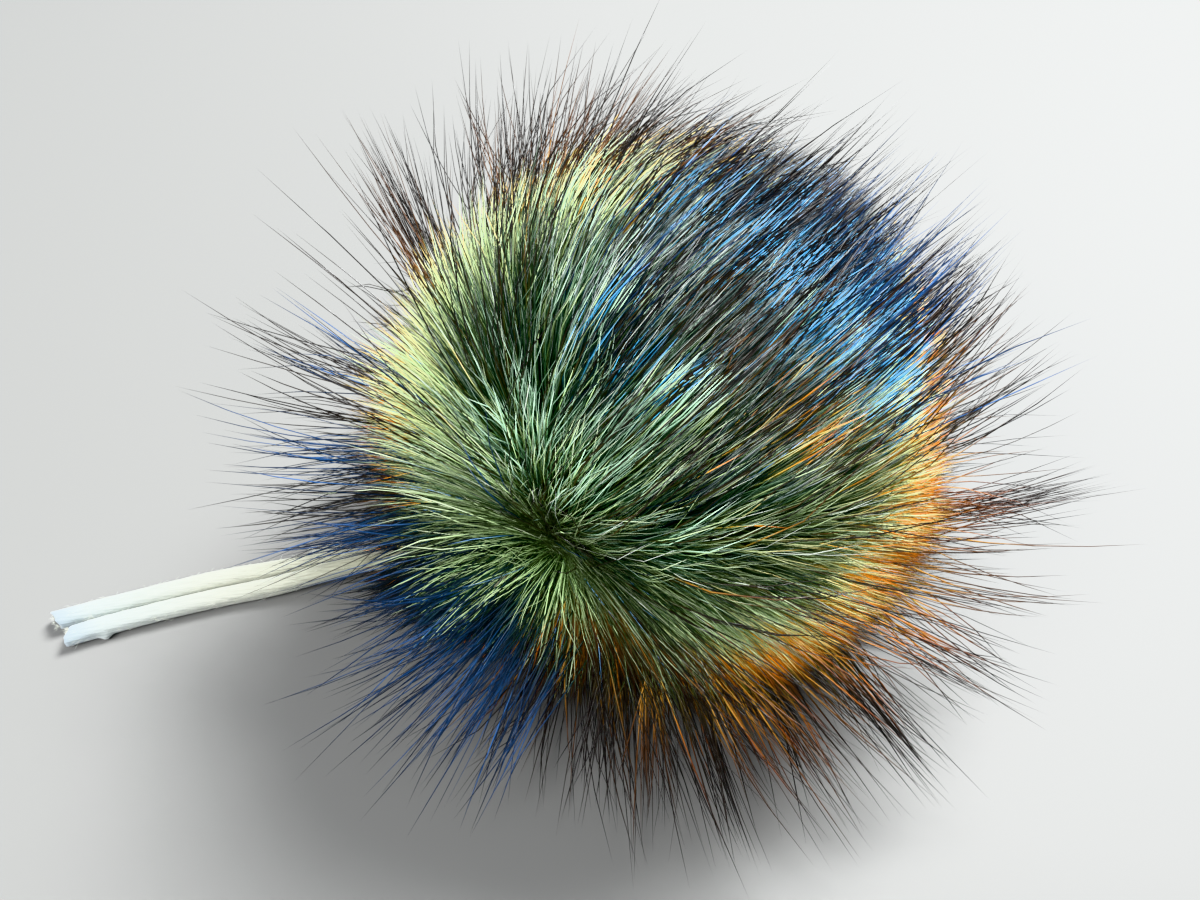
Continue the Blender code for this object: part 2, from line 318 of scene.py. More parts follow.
def full_lengths(directions, is_guard):
    """How long the pile or the guard hair is at places on the ball."""
    lengths = np.full(len(directions), GUARD_LENGTH if is_guard else PILE_LENGTH)
    for towards, pile_share, guard_share in LENGTH_ZONES:
        share = guard_share if is_guard else pile_share
        nearness = ramp((directions @ np.array(towards) - LENGTH_ZONE_FROM) / (1.0 - LENGTH_ZONE_FROM))
        lengths *= 1.0 + (share - 1.0) * nearness
    return lengths


# ---- strands as meshes
def new_object(name, data):
    """An object in the scene that shows this data."""
    made = bpy.data.objects.new(name, data)
    bpy.context.collection.objects.link(made)
    return made


def strand_mesh(name, paths, radii, tones, shares):
    """Closed three-sided tapering strands, joined to one mesh.

    paths is (strand, point, xyz), and the last point is the tip. The map OFBake holds each
    strand's tone across and its share of the full length along.
    """
    strands, points = paths.shape[:2]
    rings = points - 1
    along = unit(np.gradient(paths, axis=1))
    side = unit(np.cross(along[:, :1], chance.normal(size=(strands, 1, 3))))
    across = unit(np.cross(along, side))
    other = np.cross(along, across)
    corners = []
    for corner in range(3):
        turn = 2.0 * math.pi * corner / 3.0
        spoke = across * math.cos(turn) + other * math.sin(turn)
        corners.append(paths[:, :rings] + spoke[:, :rings] * radii[:, :rings, None])
    ring_verts = np.stack(corners, axis=2).reshape(strands, rings * 3, 3)
    verts = np.concatenate((ring_verts, paths[:, rings:]), axis=1)
    per_strand = rings * 3 + 1

    faces, face_u, face_v = [(0, 2, 1)], [(0.0, 1.0, 0.5)], [(0, 0, 1)]
    for ring in range(rings - 1):
        for corner in range(3):
            after = (corner + 1) % 3
            low, high = ring * 3, ring * 3 + 3
            faces += [(low + corner, low + after, high + after),
                      (low + corner, high + after, high + corner)]
            face_u += [(corner, corner + 1, corner + 1), (corner, corner + 1, corner)]
            face_v += [(ring, ring, ring + 1), (ring, ring + 1, ring + 1)]
    for corner in range(3):
        low = (rings - 1) * 3
        faces.append((low + corner, low + (corner + 1) % 3, rings * 3))
        face_u.append((corner, corner + 1, corner + 0.5))
        face_v.append((rings - 1, rings - 1, rings))
    faces = np.array(faces)
    face_u = np.array(face_u, dtype=float).ravel() / 3.0
    face_v = np.array(face_v).ravel()

    mesh = bpy.data.meshes.new(name)
    mesh.vertices.add(strands * per_strand)
    mesh.vertices.foreach_set("co", verts.reshape(-1).astype(np.float32))
    corner_verts = (faces.reshape(1, -1) + np.arange(strands)[:, None] * per_strand).reshape(-1)
    mesh.loops.add(len(corner_verts))
    mesh.loops.foreach_set("vertex_index", corner_verts.astype(np.int32))
    count = len(corner_verts) // 3
    mesh.polygons.add(count)
    mesh.polygons.foreach_set("loop_start", np.arange(0, count * 3, 3, dtype=np.int32))
    mesh.polygons.foreach_set("use_smooth", np.ones(count, dtype=bool))
    mesh.update()
    mesh.validate()
    tone_width = 0.006
    map_u = tones[:, None] * (1.0 - tone_width) + face_u[None, :] * tone_width
    shares = np.clip(shares, 0.0, 1.0)
    map_v = shares[:, face_v]
    map_v[:, 2] = map_v[:, 0] + 0.01
    layer = mesh.uv_layers.new(name="OFBake")
    layer.data.foreach_set("uv", np.stack((map_u, map_v), axis=2).reshape(-1).astype(np.float32))
    return new_object(name, mesh)


def lift_off_floor(paths, height):
    """Keep strands above the surface that the ball lies on, with a soft landing."""
    over = paths[..., 2] - height
    soft = 0.0006
    paths[..., 2] = height + 0.5 * (over + np.sqrt(over * over + soft * soft))


def push_off_tie(paths, clearance):
    """Move strand points out of the tie's two strands."""
    flat = paths.reshape(-1, 3)
    limit = TIE_DIAMETER / 2 + clearance
    close = near_box(flat, TIE_POINTS, limit)
    for start in range(0, len(close), BATCH):
        some = close[start:start + BATCH]
        away = from_nearest(flat[some], TIE_POINTS)
        distance = lengths_of(away)
        flat[some] += unit(away) * np.maximum(limit - distance, 0.0)


# ---- materials
def new_material(name, roughness, specular):
    """A Principled material with its node tree, ready for a colour."""
    material = bpy.data.materials.new(name)
    material.use_nodes = True
    shader = material.node_tree.nodes["Principled BSDF"]
    shader.inputs["Roughness"].default_value = roughness
    shader.inputs["Specular IOR Level"].default_value = specular
    return material, material.node_tree, shader


def add_node(tree, kind, inputs=(), operation=None, dimensions=None):
    """Add a node, fill its inputs with values or other nodes' outputs, and give its first output."""
    node = tree.nodes.new("ShaderNode" + kind)
    if operation:
        node.operation = operation
    if dimensions:
        node.noise_dimensions = dimensions
    for key, value in dict(inputs).items():
        if isinstance(value, bpy.types.NodeSocket):
            tree.links.new(value, node.inputs[key])
        else:
            node.inputs[key].default_value = value
    return node.outputs[0]


def add_ramp(tree, place, stops):
    """Colours between stops, each a place and a linear red, green and blue."""
    output = add_node(tree, "ValToRGB", {"Fac": place})
    elements = output.node.color_ramp.elements
    elements[0].position, elements[1].position = stops[0][0], stops[-1][0]
    elements[0].color = (*stops[0][1], 1.0)
    elements[1].color = (*stops[-1][1], 1.0)
    for position, colour in stops[1:-1]:
        elements.new(position).color = (*colour, 1.0)
    return output


def read_map(tree):
    """The map OFBake as a vector, its place across and its place along."""
    uv = tree.nodes.new("ShaderNodeUVMap")
    uv.uv_map = "OFBake"
    split = add_node(tree, "SeparateXYZ", {"Vector": uv.outputs["UV"]}).node
    return uv.outputs["UV"], split.outputs["X"], split.outputs["Y"]


def set_colour(tree, shader, colours, brightness):
    """Give the shader colours times a brightness."""
    scaled = add_node(tree, "VectorMath", {0: colours, "Scale": brightness}, "SCALE")
    tree.links.new(scaled, shader.inputs["Base Color"])


def set_bump(tree, shader, height, strength, distance):
    """Give the shader a bump of a distance in metres, by a height between 0 and 1."""
    inputs = {"Height": height, "Strength": strength, "Distance": distance}
    tree.links.new(add_node(tree, "Bump", inputs), shader.inputs["Normal"])


# How far a stop falls before or after its place, and how fast that changes with the tone.
STOP_SHIFT = 0.13
STOP_SHIFT_SCALE = 57.0


def strand_material(name, stops, roughness, specular, tone):
    """Colour stops along the strand, and tone: the least and most brightness and its curve."""
    material, tree, shader = new_material(name, roughness, specular)
    _, across, along = read_map(tree)
    inputs = {"Scale": STOP_SHIFT_SCALE, "Detail": 1.0, "W": across}
    shift = add_node(tree, "TexNoise", inputs, dimensions="1D")
    centred = add_node(tree, "Math", {0: shift, 1: 2.0 * STOP_SHIFT, 2: -STOP_SHIFT}, "MULTIPLY_ADD")
    shifted = add_node(tree, "Math", {0: along, 1: centred}, "ADD")
    least, most, power = tone
    curve = add_node(tree, "Math", {0: across, 1: power}, "POWER")
    bright = add_node(tree, "MapRange", {"Value": curve, "To Min": least, "To Max": most})
    set_colour(tree, shader, add_ramp(tree, shifted, stops), bright)
    return material


ROOT_DARK = (0.020, 0.034, 0.015)
# Each family: brightness of its darkest and palest strands and the curve between, then stops
# along the strand: a share of its full length and a linear red, green and blue. The root is dark.
FAMILIES = {
    "sage": ((0.20, 3.1, 2.2), (0.12, (0.09, 0.14, 0.06)), (0.38, (0.26, 0.37, 0.17)),
             (0.75, (0.37, 0.48, 0.25)), (1.0, (0.54, 0.62, 0.42))),
    "mint": ((0.20, 2.7, 2.3), (0.10, (0.09, 0.16, 0.09)), (0.36, (0.26, 0.41, 0.27)),
             (0.75, (0.36, 0.54, 0.39)), (1.0, (0.50, 0.65, 0.51))),
    "lime": ((0.50, 1.9, 1.3), (0.14, (0.15, 0.22, 0.08)), (0.40, (0.44, 0.54, 0.25)),
             (0.72, (0.64, 0.68, 0.33)), (0.90, (0.66, 0.46, 0.14)), (1.0, (0.26, 0.11, 0.02))),
    # Forest: near-black green strands for the darker patches, partly the fur's own dark green and partly
    # painted shade.
    "forest": ((0.30, 4.0, 3.4), (0.30, (0.028, 0.055, 0.028)), (0.60, (0.045, 0.085, 0.045)),
               (0.85, (0.045, 0.075, 0.045)), (1.0, (0.016, 0.022, 0.018))),
    "rust": ((0.45, 2.1, 1.4), (0.18, (0.14, 0.20, 0.07)), (0.36, (0.50, 0.56, 0.20)),
             (0.52, (0.76, 0.48, 0.09)), (0.70, (0.72, 0.26, 0.020)), (0.86, (0.40, 0.115, 0.012)),
             (0.95, (0.09, 0.030, 0.008)), (1.0, (0.03, 0.012, 0.006))),
    "brown": ((0.4, 1.8, 1.4), (0.26, (0.06, 0.09, 0.03)), (0.48, (0.13, 0.12, 0.04)),
              (0.62, (0.20, 0.085, 0.02)), (0.80, (0.045, 0.020, 0.009)), (1.0, (0.008, 0.006, 0.006))),
    "charcoal": ((0.22, 3.6, 2.8), (0.22, (0.06, 0.10, 0.08)), (0.60, (0.125, 0.165, 0.150)),
                 (0.85, (0.130, 0.150, 0.140)), (1.0, (0.020, 0.020, 0.024))),
    # Azure: dark blue fibres with a bright blue band along their middle that is painted blue sheen.
    "azure": ((0.10, 4.0, 2.2), (0.26, (0.02, 0.07, 0.09)), (0.44, (0.05, 0.21, 0.31)),
              (0.68, (0.09, 0.40, 0.70)), (0.87, (0.07, 0.22, 0.36)), (1.0, (0.004, 0.008, 0.020))),
    "navy": ((0.25, 5.5, 6.0), (0.30, (0.010, 0.018, 0.018)), (0.55, (0.006, 0.014, 0.020)),
             (0.80, (0.006, 0.016, 0.034)), (1.0, (0.003, 0.005, 0.008))),
}
GUARDS = {
    "black": ((0.5, 1.8, 2.2), (0.20, (0.08, 0.11, 0.04)), (0.36, (0.06, 0.045, 0.018)),
              (0.52, (0.016, 0.012, 0.009)), (1.0, (0.010, 0.007, 0.006))),
    "navy": ((0.4, 3.6, 2.8), (0.25, (0.02, 0.04, 0.03)), (0.42, (0.008, 0.024, 0.055)),
             (0.68, (0.012, 0.042, 0.115)), (1.0, (0.006, 0.007, 0.014))),
    "chestnut": ((0.5, 1.8, 1.6), (0.20, (0.16, 0.19, 0.06)), (0.38, (0.40, 0.20, 0.04)),
                 (0.58, (0.085, 0.036, 0.013)), (1.0, (0.014, 0.009, 0.008))),
    "rust": ((0.5, 1.6, 1.3), (0.18, (0.20, 0.26, 0.08)), (0.32, (0.42, 0.25, 0.05)),
             (0.46, (0.32, 0.11, 0.015)), (0.60, (0.12, 0.035, 0.010)), (0.76, (0.02, 0.012, 0.009)),
             (1.0, (0.010, 0.008, 0.008))),
}
# Pale and sky-blue strands that stand for glints of light on the fur: painted highlights.
PAINTED_HIGHLIGHT_FAMILIES = {
    "silver": ((0.6, 1.5, 1.0), (0.25, (0.24, 0.34, 0.20)), (0.6, (0.66, 0.74, 0.58)),
               (1.0, (0.74, 0.78, 0.72))),
    "sky": ((0.6, 1.6, 1.0), (0.3, (0.06, 0.16, 0.22)), (0.6, (0.22, 0.48, 0.80)),
            (1.0, (0.30, 0.52, 0.86))),
}

# The tie: its loose fibres as a family, and its cotton from the gather to the free end: darker and
# yellower near the gather, and a darker blue-white at the free end that is painted bluish shade.
TIE_FIBRE = ((0.8, 1.1, 1.0), (0.0, (0.60, 0.60, 0.50)), (0.5, (0.66, 0.68, 0.60)),
             (1.0, (0.72, 0.74, 0.70)))
TIE_COTTON_AND_SHADE = ((0.36, (0.36, 0.36, 0.24)), (0.50, (0.45, 0.45, 0.34)), (0.72, (0.53, 0.54, 0.46)),
              (0.92, (0.50, 0.55, 0.53)), (1.0, (0.40, 0.49, 0.57)))

# ---- where the colours lie
# Each row: a direction from the ball's centre in hundredths, and the families there by per cent.
PILE_ZONES = (
    # round the gather
    (-28, -69, 67, "mint 85, sage 15"),
    (-50, -60, 62, "mint 75, sage 15, forest 10"),
    (-62, -53, 58, "sage 70, mint 30"),
    (-63, -69, 35, "sage 90, mint 10"),
    (-81, -52, 26, "sage 70, forest 30"),
    (-76, -65, 3, "sage 90, forest 10"),
    (-58, -81, 12, "sage 100"),
    (-61, -78, -16, "sage 80, forest 20"),
    (-70, -70, -10, "sage 80, forest 20"),
    (-79, -59, -16, "navy 70, sage 30"),
    (-68, -67, -28, "navy 80, forest 20"),
    (-38, -86, 33, "sage 60, forest 40"),
    (-36, -91, 19, "sage 65, forest 35"),
    (-19, -96, 21, "sage 55, forest 45"),
    (-26, -77, 58, "sage 45, mint 35, forest 20"),
    (-17, -81, 56, "forest 50, navy 25, sage 25"),
    (-11, -87, 48, "mint 50, forest 30, navy 20"),
    (-4, -91, 41, "sage 45, forest 55"),
    # the left
    (-93, 9, 35, "lime 90, sage 10"),
    (-87, -15, 47, "lime 85, sage 15"),
    (-80, -40, 44, "lime 50, sage 50"),
    (-97, -18, 14, "rust 40, lime 60"),
    (-73, -16, 66, "forest 70, sage 30"),
    (-63, -32, 70, "forest 90, charcoal 10"),
    (-50, -35, 79, "forest 85, charcoal 15"),
    (-50, -24, 83, "forest 70, charcoal 20, sage 10"),
    (-49, -8, 87, "forest 60, sage 40"),
    # the top
    (-70, 38, 61, "lime 50, sage 50"),
    (-55, 15, 82, "lime 25, sage 50, forest 25"),
    (-39, 10, 92, "lime 30, sage 25, mint 20, forest 25"),
    (-20, 27, 94, "sage 40, lime 25, rust 10, charcoal 25"),
    (-30, -19, 94, "mint 65, charcoal 20, forest 15"),
    (-38, -43, 82, "mint 35, sage 15, forest 30, charcoal 20"),
    (-22, -46, 86, "azure 40, navy 40, charcoal 20"),
    (-24, -55, 80, "navy 50, forest 50"),
    (-12, -19, 97, "charcoal 65, forest 35"),
    (-2, -13, 99, "charcoal 85, forest 15"),
    (1, -38, 92, "charcoal 50, forest 50"),
    (-10, -56, 82, "mint 50, sage 15, charcoal 25, navy 10"),
    (-10, -72, 69, "forest 50, navy 25, mint 25"),
    # the blue arc, where azure strands carry painted blue sheen
    (5, 31, 95, "navy 60, charcoal 30, lime 10"),
    (21, 19, 96, "navy 85, azure 15"),
    (37, 2, 93, "navy 75, azure 25"),
    (56, -9, 82, "navy 80, azure 20"),
    (71, -18, 68, "navy 80, azure 20"),
    (5, 3, 100, "navy 45, azure 35, charcoal 20"),
    (12, -7, 99, "azure 50, charcoal 30, navy 20"),
    (29, -15, 94.5, "azure 80, navy 20"),
    (36, -27, 89, "azure 75, mint 10, charcoal 15"),
    (49, -33, 81, "azure 75, mint 10, navy 15"),
    (62, -42, 66, "azure 60, mint 20, navy 20"),
    (75, -36, 56, "azure 50, mint 30, lime 20"),
    (40, -40, 82, "azure 60, mint 25, charcoal 15"),
    (51, -51, 69, "azure 30, mint 45, rust 25"),
    (34, -52, 78, "charcoal 80, forest 10, rust 10"),
    (25, -42, 87, "charcoal 80, brown 10, forest 10"),
    (6, -25, 97, "charcoal 80, navy 20"),
    (14, -31, 94, "charcoal 80, mint 10, brown 10"),
    (19, -36, 91, "charcoal 75, forest 10, brown 15"),
    # the right
    (29, -46, 84, "charcoal 65, forest 35"),
    (17, -57, 80, "charcoal 45, forest 30, brown 25"),
    (4, -70, 71, "forest 45, charcoal 30, sage 25"),
    (42, -56, 71, "charcoal 55, forest 20, lime 15, rust 10"),
    (32, -66, 68, "forest 40, charcoal 20, brown 20, rust 20"),
    (48, -61, 63, "rust 40, lime 30, charcoal 30"),
    (21, -82, 53, "forest 50, charcoal 15, sage 35"),
    (36, -78, 51, "forest 45, sage 30, lime 25"),
    (36, -83, 42, "forest 90, sage 10"),
    (50, -73, 46, "forest 50, sage 30, brown 20"),
    (60, -64, 48, "lime 35, sage 40, forest 25"),
    (75, -53, 40, "lime 55, rust 25, charcoal 20"),
    (86, -49, 5, "rust 80, lime 20"),
    (90, -20, 30, "rust 40, charcoal 40, lime 20"),
    (0, -97, 23, "sage 75, forest 25"),
    (17, -96, 21, "sage 80, lime 20"),
    (22, -89, 39, "forest 80, sage 20"),
    (45, -85, 26, "sage 60, lime 40"),
    (44, -81, 40, "forest 80, sage 20"),
    (56, -76, 34, "sage 60, forest 30, lime 10"),
    (26, -95, 12, "sage 55, lime 45"),
    (60, -77, 21, "lime 60, rust 40"),
    (70, -70, -5, "rust 70, lime 30"),
    (56, -82, -10, "rust 75, lime 25"),
    (37, -93, -2, "lime 65, rust 35"),
    # low down, near the surface
    (45, -80, -40, "rust 90, brown 10"),
    (40, -90, -19, "rust 85, lime 15"),
    (20, -93, -30, "rust 60, brown 40"),
    (-5, -96, -20, "brown 60, sage 40"),
    (-30, -93, -20, "brown 90, forest 10"),
    (-52, -85, 1, "sage 90, forest 10"),
    (-20, -82, -54, "brown 90, rust 10"),
    (-41, -84, -34, "brown 95, sage 5"),
    (-36, -76, -54, "brown 90, sage 10"),
    (-51, -70, -50, "brown 20, sage 30, rust 50"),
    (-65, -62, -43, "navy 95, sage 5"),
    (-62, -48, -62, "navy 100"),
    (-80, -50, -30, "navy 100"),
    (-94, -30, -12, "navy 70, brown 30"),
    (0, 0, -100, "brown 70, charcoal 30"),
    # the far side
    (90, 30, 10, "charcoal 45, brown 35, lime 20"),
    (40, 60, 70, "charcoal 30, navy 50, brown 20"),
    (0, 60, 80, "lime 40, brown 40, charcoal 20"),
    (-80, 45, 40, "lime 60, sage 40"),
    (-40, 60, 70, "lime 50, sage 30, forest 20"),
    (0, 85, 50, "brown 40, lime 30, forest 30"),
    (-45, 85, 20, "sage 50, forest 50"),
    (50, 85, 10, "azure 25, charcoal 45, navy 20, sage 10"),
    (85, 45, -30, "lime 50, sage 50"),
    (-90, 30, -30, "rust 60, brown 40"),
    (0, 85, -50, "rust 60, lime 40"),
    (65, 50, -60, "brown 70, sage 30"),
    (95, -10, -30, "rust 70, brown 30"),
)
GUARD_ZONES = (
    (-45, -45, 77, "black 90, navy 10"),
    (-39, 10, 92, "chestnut 10, black 90"),
    (-50, -15, 85, "black 100"),
    (2, -23, 97, "black 95, navy 5"),
    (60, -22, 76, "navy 50, black 50"),
    (30, -65, 70, "black 70, chestnut 30"),
    (80, -50, 10, "chestnut 30, black 40, rust 30"),
    (40, -90, -19, "rust 60, chestnut 20, black 20"),
    (20, -90, -30, "chestnut 30, black 40, rust 30"),
    (12, -96, 22, "chestnut 10, black 90"),
    (-25, -90, -30, "black 80, chestnut 20"),
    (-75, -60, -20, "navy 90, black 10"),
    (-95, -20, 10, "black 55, navy 45"),
    (-80, 45, 40, "chestnut 20, black 80"),
    (30, 80, 40, "black 70, navy 30"),
    (-30, 90, 0, "chestnut 50, black 50"),
    (0, 0, -100, "black 100"),
)
# Where the painted highlights lie, and which of their two colours.
PAINTED_HIGHLIGHT_ZONES = (
    (48, -12, 87, "sky 90, silver 10"),
    (-70, -68, -22, "sky 100"),
    (10, -60, 79, "silver 80, sky 20"),
    (-40, -60, 69, "silver 100"),
    (50, -85, 10, "silver 100"),
    (-60, 60, 50, "silver 100"),
    (40, 85, 20, "silver 50, sky 50"),
)
ZONE_SHARPNESS = 95.0
# Where strands are paler or darker than their family, partly their own tone and partly painted light and
# shade: a direction and a shift, in hundredths.
PAINTED_LIGHT_AND_TONE_ZONES = (
    # round the gather
    (-40, -75, 53, 20), (-26, -78, 57, 85), (-42, -80, 43, 20), (-11, -87, 49, 50),
    (-48, -88, 8, -60), (-57, -81, 12, -60), (-50, -82, 28, -40), (-28, -86, 42, -60),
    (-35, -94, 2, -20), (-58, -77, -27, 35), (-60, -76, -24, 30), (-51, -70, -50, 80),
    (-41, -84, -34, -40), (-30, -93, -20, -30),
    # the left and the top
    (-63, -30, 71, -35), (-50, -14, 85, -35), (-82, -26, 51, 15), (-32, -28, 90, 20),
    (-38, -50, 78, 40), (-37, -37, 86, 15), (-25, -54, 80, -45), (-20, -35, 92, -30),
    (-11, -58, 81, 100), (-2, -14, 99, 10), (-50, -36, 79, -30), (-28, -8, 96, -25),
    (46, -34, 82, 20), (62, -42, 66, 30), (40, -56, 73, -20), (-26, -67, 70, -45),
    (-5, -28, 96, -25), (2, -45, 89, -60), (8, -57, 82, -20), (27, -20, 94, 20),
    (38, -40, 83, 15), (30, -47, 83, -20), (51, -51, 69, 25), (76, -36, 54, 25),
    (-11, 20, 97, -20), (5, 31, 95, -15),
    # the right
    (34, -67, 66, -90), (45, -60, 66, -40), (72, -56, 40, -40), (27, -75, 60, 60),
    (40, -74, 55, 25), (5, -78, 62, -35), (-11, -78, 61, -35), (58, -67, 46, -60),
    (50, -76, 42, -50), (29, -83, 47, -50), (-12, -93, 36, -30), (2, -92, 38, -20),
    (19, -91, 36, -70), (42, -81, 41, -90), (56, -76, 34, -25), (20, -98, -3, 30),
    (40, -90, -19, 80), (33, -92, 19, 15), (16, -97, 18, 15), (54, -84, 1, 80),
    (48, -86, -17, 40), (18, -94, -29, 30),
)
# Holds the painted light and shade of the zones back where no zone is near.
PAINTED_LIGHT_AND_TONE_REST = 0.30


def read_mix(mix):
    """Shares by family from text such as "mint 85, sage 15"."""
    pairs = [pair.split() for pair in mix.split(", ")]
    return {family: int(percent) / 100 for family, percent in pairs}


def choose_families(towards, zones, draws):
    """A family for each strand, by where it shows and by its draw between 0 and 1."""
    mixes = [read_mix(mix) for *_, mix in zones]
    names = sorted({name for mix in mixes for name in mix})
    mixes = np.array([[mix.get(name, 0.0) for name in names] for mix in mixes])
    centres = unit(np.array([direction for *direction, _ in zones]) / 100)
    nearness = np.exp(ZONE_SHARPNESS * (towards @ centres.T - 1.0)) + 1e-12
    odds = nearness @ mixes
    odds /= odds.sum(axis=1, keepdims=True)
    picked = (np.cumsum(odds, axis=1) < draws[:, None]).sum(axis=1)
    return np.array(names)[np.minimum(picked, len(names) - 1)]


def painted_light_and_tone_shift(towards):
    """How much paler or darker strands are where they show: partly their own tone and partly painted
    light and shade.
    """
    rows = np.array(PAINTED_LIGHT_AND_TONE_ZONES) / 100
    nearness = np.exp(ZONE_SHARPNESS * (towards @ unit(rows[:, :3]).T - 1.0))
    return nearness @ rows[:, 3] / (nearness.sum(axis=1) + PAINTED_LIGHT_AND_TONE_REST)


# ---- layers of fur
SHOWS_AT = 0.68
SHOWS_NEARER = 0.34
SHOWS_NEARER_SPREAD = math.radians(34.0)
PILE_LAYERS = ("under", "pile", "whorl", "skirt", "low", "rim", "cover")
CLUMP_STEPS = 30
STEPS_A_POINT = 3
# How far roots stand in the mass, and how many of its radii a strand keeps above the floor.
ROOT_DEPTH = 0.0012
FLOOR_CLEARANCE = 1.3
COVER_ABOVE_TIE = (0.0003, 0.0012)
COVER_SPREAD = 0.0032
COVER_STARTS_BEFORE = 0.007
COVER_AT_START = 0.45
COVER_FIRST_POINTS = 12
# Count is the strands on a whole ball. Length is a share of the full length, and spread how far it
# varies. Radius and wave are in millimetres, and blunt is how late a strand tapers. Lean is how far
# strands, or whole tufts, turn off the flow. Tight is the least and most that tufts draw together,
# and together the share of strands that take the colour of their tuft. Waves are a strand's.
LAYER_COLUMNS = ("count", "length", "spread", "points", "radius", "blunt", "lean",
                 "tufts", "tuft_lean", "tight", "together", "wave", "waves")
LAYERS = {
    "under": (21500, 0.76, 0.12, 3, 0.145, 0.40, 0.14, 2400, 0.07, (0.20, 0.80), 0.7, 0.25, 1.3),
    "pile": (22500, 1.00, 0.15, 4, 0.112, 0.40, 0.10, 2400, 0.09, (0.30, 0.95), 0.7, 0.30, 1.0),
    "whorl": (27000, 0.92, 0.24, 6, 0.072, 0.35, 0.20, 1800, 0.10, (0.10, 0.70), 0.5, 0.38, 1.7),
    "skirt": (60000, 0.90, 0.32, 4, 0.068, 0.35, 0.15, 3400, 0.07, (0.10, 0.70), 0.6, 0.35, 1.2),
    "low": (11500, 1.35, 0.20, 4, 0.135, 0.35, 0.14, 900, 0.10, (0.20, 0.80), 0.5, 0.35, 1.0),
    "rim": (19500, 1.05, 0.22, 4, 0.125, 0.35, 0.14, 1600, 0.10, (0.20, 0.80), 0.5, 0.35, 1.0),
    "cover": (1900, 0.80, 0.25, 5, 0.110, 0.35, 0.16, 1500, 0.10, (0.00, 0.30), 0.2, 0.50, 1.5),
    "guard": (5700, 0.92, 0.22, 5, 0.130, 0.28, 0.09, 420, 0.17, (0.15, 0.95), 0.5, 0.35, 0.7),
    # Sparse pale strands as painted highlights.
    "shine": (1050, 1.12, 0.15, 4, 0.060, 0.28, 0.09, 300, 0.10, (0.00, 0.30), 0.0, 0.25, 0.7),
}
# Around is the middle of a layer that covers a part of the ball, and how far it reaches. Its
# colour is taken where a strand shows_at, a share of it. A calm layer varies less in tone. The
# colours of the cover, whose strands start outside the mass, begin at from_share.
LAYER_EXTRAS = {
    "whorl": dict(around=(GATHER, math.radians(44.0)), calm=0.6),
    "skirt": dict(around=(unit(np.array((-0.60, -0.70, -0.38))), math.radians(31.0)),
                  shows_at=0.12, calm=0.6),
    "low": dict(around=(unit(np.array((-0.40, -0.50, -0.77))), math.radians(55.0))),
    "rim": dict(around=(unit(np.array((0.54, -0.83, -0.10))), math.radians(25.0))),
    "cover": dict(from_share=0.18),
    "guard": dict(shows_at=0.42),
}


def tuft_paths(count, reach, tuft_lean):
    """Middle lines of tufts: their directions, and their paths at even steps."""
    directions = spiral_directions(count, 0.35 / math.sqrt(count))
    roots = BALL_CENTRE + directions * mass_radius(directions)[:, None]
    lean = chance.normal(0.0, tuft_lean, roots.shape)
    return directions, follow_pile(roots, np.full(count, reach), CLUMP_STEPS, lean)


def nearest_tuft(directions, tufts):
    """The tuft that each strand stands in."""
    owners = []
    for start in range(0, len(directions), NEAREST_BATCH):
        owners.append(np.argmax(directions[start:start + NEAREST_BATCH] @ tufts.T, axis=1))
    return np.concatenate(owners)


def draw_into_tufts(paths, lengths, owners, middles, reach, tight):
    """Draw strands towards the middle lines of their tufts, most at the tips."""
    points = paths.shape[1]
    share = np.linspace(0.0, 1.0, points)
    place = np.clip(lengths[:, None] * share / reach * CLUMP_STEPS, 0.0, CLUMP_STEPS - 1e-6)
    low = place.astype(int)
    part = (place - low)[..., None]
    middle = middles[owners[:, None], low] * (1.0 - part) + middles[owners[:, None], low + 1] * part
    pull = tight[:, None, None] * (share ** 1.3)[None, :, None]
    return paths + (middle - paths) * pull


def wave_strands(paths, size, waves):
    """Bend strands in a slow wave that grows to the tip."""
    strands, points = paths.shape[:2]
    share = np.linspace(0.0, 1.0, points)
    phase = chance.uniform(0.0, 2.0 * math.pi, (strands, 1))
    count = waves * chance.uniform(0.6, 1.4, (strands, 1))
    bend = np.sin(phase + 2.0 * math.pi * count * share) - np.sin(phase)
    amount = size * chance.uniform(0.2, 1.0, (strands, 1)) * share
    way = unit(chance.normal(size=(strands, 1, 3)))
    return paths + way * (bend * amount)[..., None]


def cover_roots(count):
    """Roots of the strands that lie over the hidden part of the tie."""
    on_tie = HIDDEN_POINTS[chance.integers(0, len(HIDDEN_POINTS), count)]
    started = chance.uniform(size=count) < COVER_AT_START
    starts = np.stack((UPPER_LINE[0], LOWER_LINE[0]))
    from_starts = lengths_of(from_nearest(HIDDEN_POINTS, starts))[:, 0]
    first = HIDDEN_POINTS[np.argsort(from_starts)[:COVER_FIRST_POINTS]]
    on_tie[started] = first[chance.integers(0, COVER_FIRST_POINTS, started.sum())]
    out = unit(on_tie - BALL_CENTRE)
    along = pile_direction(on_tie)
    aside = unit(np.cross(out, along))
    roots = on_tie + out * (TIE_DIAMETER / 2 + chance.uniform(*COVER_ABOVE_TIE, (count, 1)))
    roots += aside * chance.normal(0.0, COVER_SPREAD, (count, 1))
    return roots - along * chance.uniform(0.0, COVER_STARTS_BEFORE, (count, 1))


def thinning(directions):
    """The share of the guard hair that is left out at places on the ball."""
    thinned = np.zeros(len(directions))
    for towards, share in THIN_ZONES:
        nearness = ramp((directions @ np.array(towards) - THIN_FROM) / THIN_OVER)
        thinned = np.maximum(thinned, share * nearness)
    return thinned


